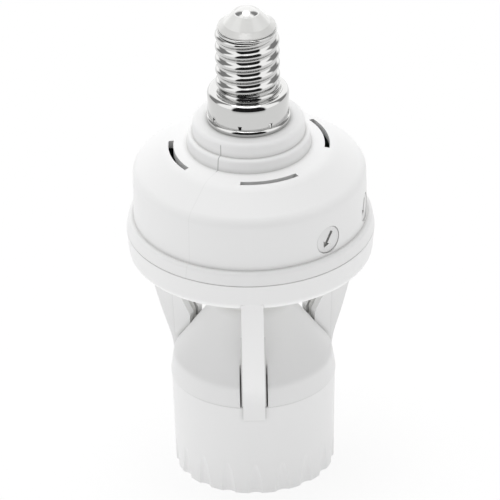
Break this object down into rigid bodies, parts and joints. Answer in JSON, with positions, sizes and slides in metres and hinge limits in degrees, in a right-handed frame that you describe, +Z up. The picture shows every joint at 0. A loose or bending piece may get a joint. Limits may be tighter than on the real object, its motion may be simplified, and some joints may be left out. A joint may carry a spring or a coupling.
{
  "type": "motion sensor lamp holder",
  "caption": "Lamp holder adapter with a small screw cap on top, a round motion sensor housing, three struts and a larger downward lamp socket under a conical hood",
  "frame": {"origin": "centre of the lamp cup's mouth, which is the lowest face of the object", "axes": "+Z points up to the screw cap, -Y points to the strut that faces the viewer of the picture, +X to the right of that view"},
  "size_m": [0.0532, 0.0532, 0.111],
  "materials": {
    "white_plastic": "satin white moulding",
    "dial_plastic": "satin white moulding",
    "blue_plastic": "gloss",
    "black_plastic": "matte",
    "amber_plastic": "gloss",
    "can_sleeve": "shrunk sleeve",
    "screw_steel": "zinc plated",
    "nickel": "bright nickel plate",
    "glazed_insulator": "glazed",
    "solder": "bright solder",
    "lens_plastic": "milky polyethylene",
    "window_filter": "dark filter",
    "sensor_resin": "clear resin",
    "board_laminate": "lacquered laminate",
    "brown_sleeve": "wire sleeve",
    "blue_sleeve": "wire sleeve",
    "pale_sleeve": "wire sleeve",
    "insert_plastic": "matte moulding",
    "brass": "plain"
  },
  "bodies": {
    "holder": {"upper_cover": "white_plastic", "lower_cover": "white_plastic", "socket_hood": "white_plastic", "socket_cup": "white_plastic", "time_trimmer": "blue_plastic", "lux_trimmer": "blue_plastic", "cover_screws": "screw_steel", "screw_shell": "nickel", "cap_insulator": "glazed_insulator", "tip_contact": "solder", "sensor_lens": "lens_plastic", "pir_sensor": "nickel", "pir_window": "window_filter", "light_sensor": "sensor_resin", "circuit_board": "board_laminate", "relay": "black_plastic", "film_capacitor": "amber_plastic", "electrolytic_capacitor": "can_sleeve", "control_chip": "black_plastic", "cap_live_lead": "brown_sleeve", "cap_neutral_lead": "blue_sleeve", "lamp_live_lead": "pale_sleeve", "lamp_neutral_lead": "pale_sleeve", "socket_insert": "insert_plastic", "socket_thread_shell": "nickel", "centre_contact": "brass", "contact_rivet": "brass", "shell_rivets": "brass"},
    "time_dial": {"time_dial": "dial_plastic"},
    "lux_dial": {"lux_dial": "dial_plastic"}
  },
  "joints": [
    {"name": "time_dial_turn", "type": "hinge", "parent": "holder", "child": "time_dial", "pos_m": [0.01643, -0.01851, 0.06406], "axis": [0.6639, -0.7478, 0], "range_deg": [-135, 135]},
    {"name": "lux_dial_turn", "type": "hinge", "parent": "holder", "child": "lux_dial", "pos_m": [0.02424, -0.00498, 0.06406], "axis": [0.9796, -0.2011, 0], "range_deg": [-135, 135]}
  ]
}
